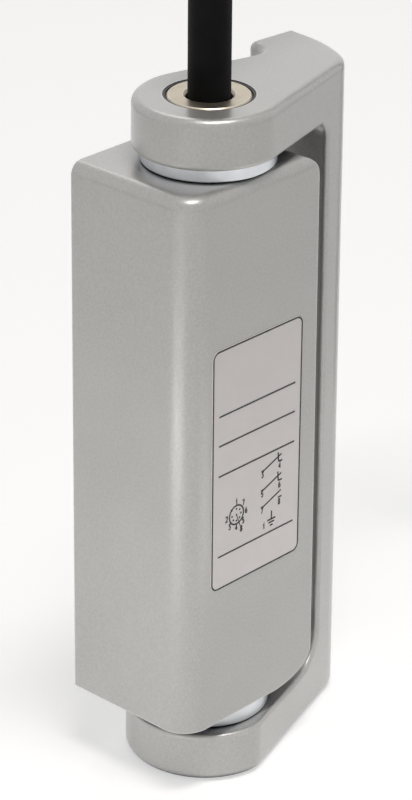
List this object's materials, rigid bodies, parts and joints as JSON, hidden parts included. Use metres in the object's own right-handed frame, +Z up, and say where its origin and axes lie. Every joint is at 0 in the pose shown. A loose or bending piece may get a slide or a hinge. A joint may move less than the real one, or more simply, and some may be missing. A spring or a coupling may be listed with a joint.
{
  "type": "hinge safety switch",
  "caption": "Die-cast safety hinge switch: a housing with contact modules between the lugs of a C-shaped bracket, a hollow hinge spindle and a short cable with a round plug.",
  "frame": {"origin": "on the hinge axis at the underside of the bracket's lower lug", "axes": "+Z up along the hinge axis, +X along the housing's front to the bracket's leaf, +Y out of the mounting faces"},
  "size_m": [0.225, 0.0279, 0.1783],
  "materials": {
    "paint": "satin",
    "nickel": "satin",
    "steel": "satin",
    "seal": "matte",
    "collar": "matte",
    "bearing": "matte",
    "insulator": "matte",
    "jacket": "matte",
    "label": "matte",
    "contact": "satin"
  },
  "bodies": {
    "housing": {"housing_shell": "paint", "back_cover": "paint", "cover_gasket": "seal", "cover_screws": "steel", "cable_spindle": "nickel", "upper_collar": "collar", "lower_collar": "collar", "lower_bush": "bearing", "shaft_seal": "seal", "shaft_support": "steel", "contact_cover": "insulator", "contact_block_1": "insulator", "contact_block_2": "insulator", "contact_block_3": "insulator", "fixed_contacts_1": "contact", "fixed_contacts_2": "contact", "fixed_contacts_3": "contact", "contact_spring_1": "steel", "contact_spring_2": "steel", "contact_spring_3": "steel", "wires": "jacket", "cable_tail": "jacket", "cable_clamp": "seal", "label_plate": "label", "cable": "jacket", "plug_body": "jacket", "plug_insert": "insulator", "plug_pins": "contact"},
    "bracket": {"bracket": "paint", "upper_bush": "bearing", "actuator_shaft": "steel", "lock_pin": "steel", "cam_1": "bearing", "cam_2": "bearing", "cam_3": "bearing"},
    "coupling_nut": {"coupling_nut": "nickel"},
    "plunger_1": {"plunger_1": "insulator", "bridge_1": "contact"},
    "plunger_2": {"plunger_2": "insulator", "bridge_2": "contact"},
    "plunger_3": {"plunger_3": "insulator", "bridge_3": "contact"}
  },
  "joints": [
    {"name": "hinge", "type": "hinge", "parent": "housing", "child": "bracket", "pos_m": [0, 0, 0], "axis": [0, 0, -1], "range_deg": [-5, 175]},
    {"name": "plunger_1", "type": "slide", "parent": "housing", "child": "plunger_1", "axis": [-1, 0, 0], "range_m": [-0.00005, 0.00137], "deforming": ["contact_spring_1"]},
    {"name": "plunger_2", "type": "slide", "parent": "housing", "child": "plunger_2", "axis": [-1, 0, 0], "range_m": [-0.00005, 0.00137], "deforming": ["contact_spring_2"]},
    {"name": "plunger_3", "type": "slide", "parent": "housing", "child": "plunger_3", "axis": [-1, 0, 0], "range_m": [-0.00005, 0.00137], "deforming": ["contact_spring_3"]},
    {"name": "coupling_nut", "type": "hinge", "parent": "housing", "child": "coupling_nut", "pos_m": [0.194, 0, 0.0077], "axis": [1, 0, 0], "continuous": true}
  ],
  "couplings": [
    {"joint": "plunger_1", "follows": "hinge", "m_per_rad": 0.00044563},
    {"joint": "plunger_2", "follows": "hinge", "m_per_rad": 0.00044563},
    {"joint": "plunger_3", "follows": "hinge", "m_per_rad": 0.00044563}
  ]
}
